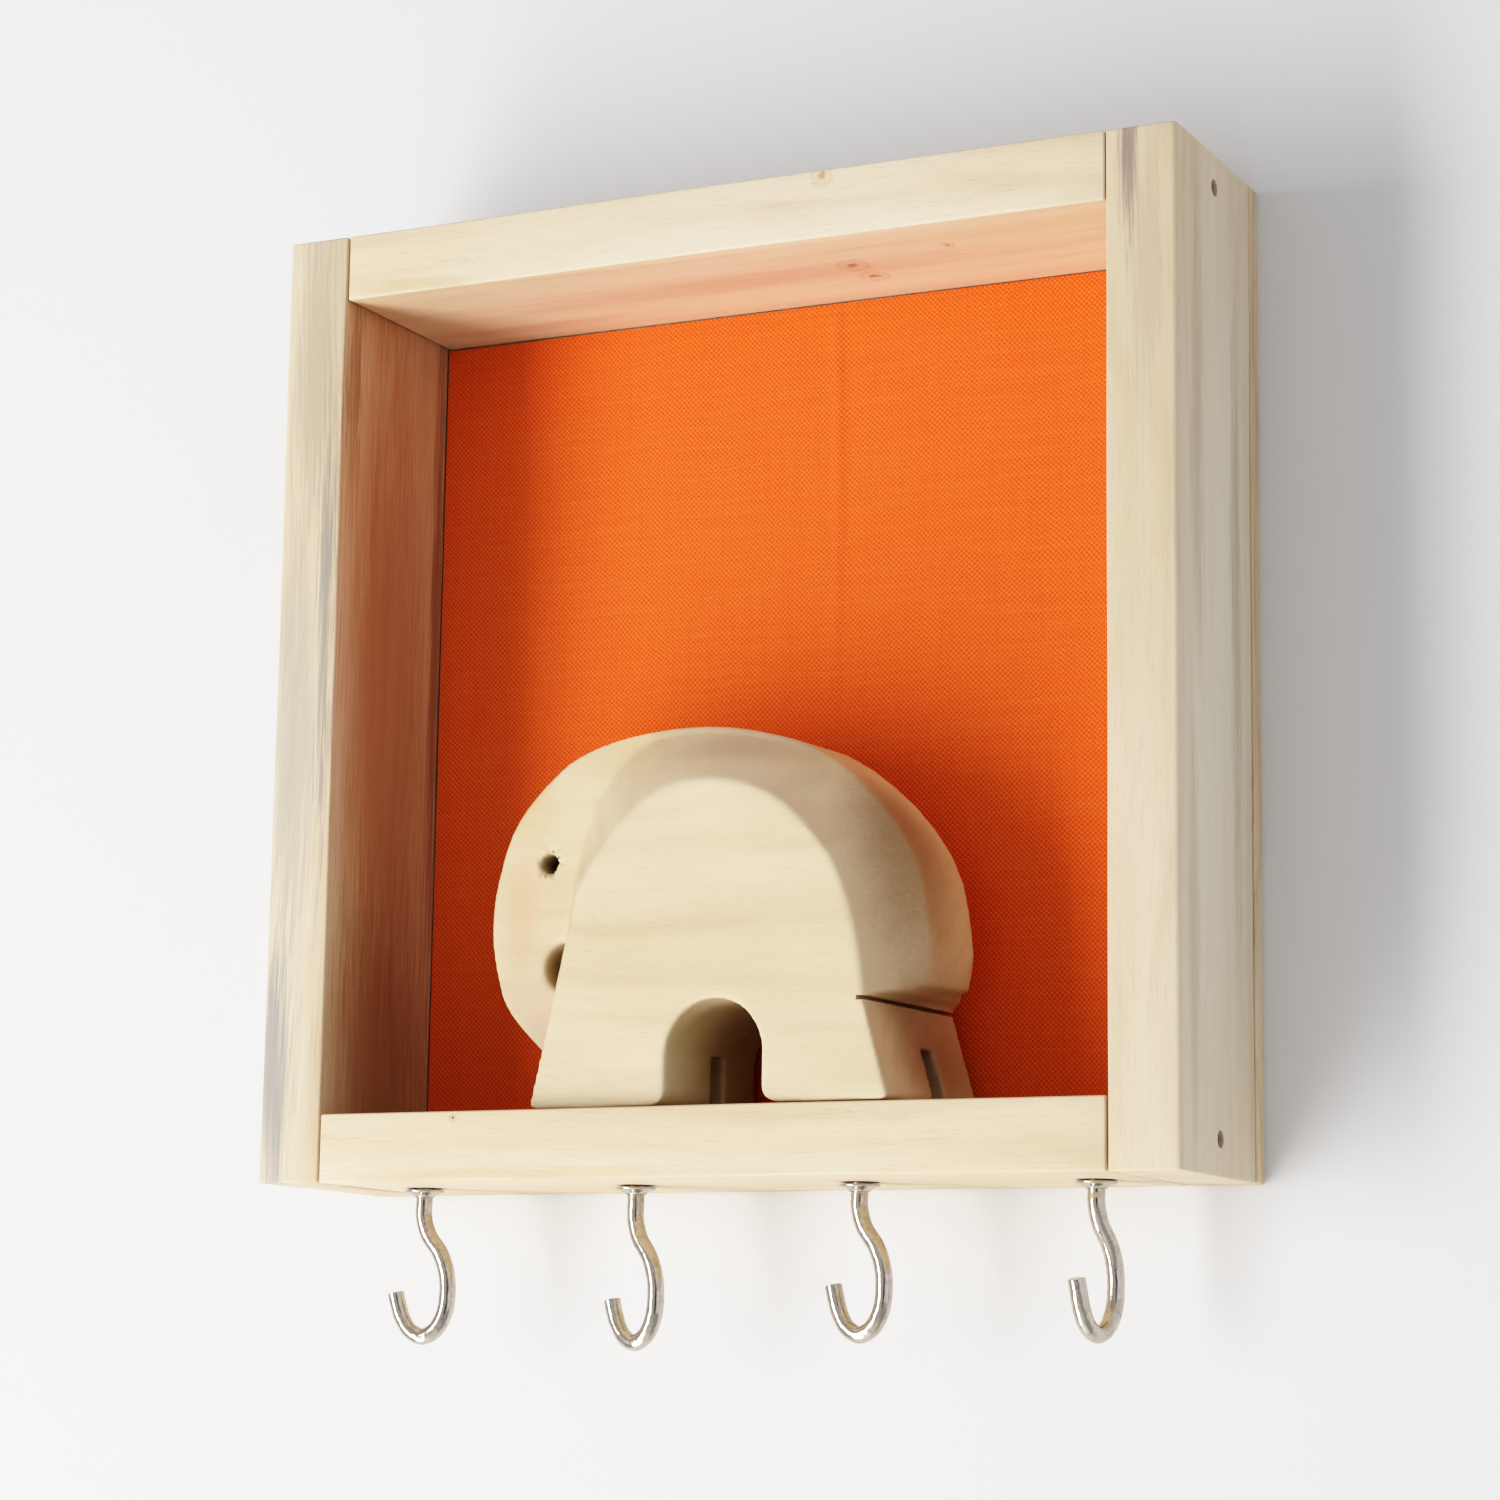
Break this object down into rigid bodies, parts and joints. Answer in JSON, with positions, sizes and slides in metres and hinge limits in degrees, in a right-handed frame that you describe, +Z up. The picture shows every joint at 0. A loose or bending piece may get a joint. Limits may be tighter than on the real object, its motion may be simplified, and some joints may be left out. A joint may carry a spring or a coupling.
{
  "type": "wall-hung key rack shadow box with carved elephant",
  "caption": "Square wooden shadow box with an orange canvas ground, a carved elephant on its bottom rail and cup hooks for keys under it.",
  "frame": {"origin": "centre of the back face, on the wall plane", "axes": "+X to the right seen from the front, +Y into the wall, +Z up"},
  "size_m": [0.18, 0.043, 0.2088],
  "materials": {
    "board_wood": "sanded, unfinished pale hardwood",
    "back_wood": "thin unfinished plywood",
    "carved_wood": "hand sanded, lightly oiled",
    "canvas": "plain-weave cotton canvas, matt",
    "nickel": "bright nickel plate",
    "nail_steel": "bright steel, slightly dulled",
    "hanger_metal": "brassed steel"
  },
  "bodies": {
    "frame": {"left_side": "board_wood", "right_side": "board_wood", "top_rail": "board_wood", "bottom_rail": "board_wood", "back_board": "back_wood", "orange_canvas": "canvas", "elephant": "carved_wood", "frame_nail_top_left": "nail_steel", "frame_nail_bottom_left": "nail_steel", "frame_nail_top_right": "nail_steel", "frame_nail_bottom_right": "nail_steel", "back_nail_side_upper_left": "nail_steel", "back_nail_side_upper_right": "nail_steel", "back_nail_side_lower_left": "nail_steel", "back_nail_side_lower_right": "nail_steel", "back_nail_rail_upper_left": "nail_steel", "back_nail_rail_upper_right": "nail_steel", "back_nail_rail_lower_left": "nail_steel", "back_nail_rail_lower_right": "nail_steel", "hanger_plate": "hanger_metal", "hanger_nail_left": "nail_steel", "hanger_nail_right": "nail_steel"},
    "hook_screw_1": {"hook_collar_1": "nickel"},
    "hook_1": {"cup_hook_1": "nickel"},
    "hook_screw_2": {"hook_collar_2": "nickel"},
    "hook_2": {"cup_hook_2": "nickel"},
    "hook_screw_3": {"hook_collar_3": "nickel"},
    "hook_3": {"cup_hook_3": "nickel"},
    "hook_screw_4": {"hook_collar_4": "nickel"},
    "hook_4": {"cup_hook_4": "nickel"}
  },
  "joints": [
    {"name": "hook_1_travel", "type": "slide", "parent": "frame", "child": "hook_screw_1", "axis": [0, 0, -1], "range_m": [0, 0.01]},
    {"name": "hook_1_turn", "type": "hinge", "parent": "hook_screw_1", "child": "hook_1", "pos_m": [-0.0669, -0.0215, -0.09], "axis": [0, 0, -1], "range_deg": [0, 2881]},
    {"name": "hook_2_travel", "type": "slide", "parent": "frame", "child": "hook_screw_2", "axis": [0, 0, -1], "range_m": [0, 0.01]},
    {"name": "hook_2_turn", "type": "hinge", "parent": "hook_screw_2", "child": "hook_2", "pos_m": [-0.0223, -0.0215, -0.09], "axis": [0, 0, -1], "range_deg": [0, 2881]},
    {"name": "hook_3_travel", "type": "slide", "parent": "frame", "child": "hook_screw_3", "axis": [0, 0, -1], "range_m": [0, 0.01]},
    {"name": "hook_3_turn", "type": "hinge", "parent": "hook_screw_3", "child": "hook_3", "pos_m": [0.0223, -0.0215, -0.09], "axis": [0, 0, -1], "range_deg": [0, 2881]},
    {"name": "hook_4_travel", "type": "slide", "parent": "frame", "child": "hook_screw_4", "axis": [0, 0, -1], "range_m": [0, 0.01]},
    {"name": "hook_4_turn", "type": "hinge", "parent": "hook_screw_4", "child": "hook_4", "pos_m": [0.0669, -0.0215, -0.09], "axis": [0, 0, -1], "range_deg": [0, 2881]}
  ],
  "couplings": [
    {"joint": "hook_1_turn", "follows": "hook_1_travel", "rad_per_m": 5026.5},
    {"joint": "hook_2_turn", "follows": "hook_2_travel", "rad_per_m": 5026.5},
    {"joint": "hook_3_turn", "follows": "hook_3_travel", "rad_per_m": 5026.5},
    {"joint": "hook_4_turn", "follows": "hook_4_travel", "rad_per_m": 5026.5}
  ]
}
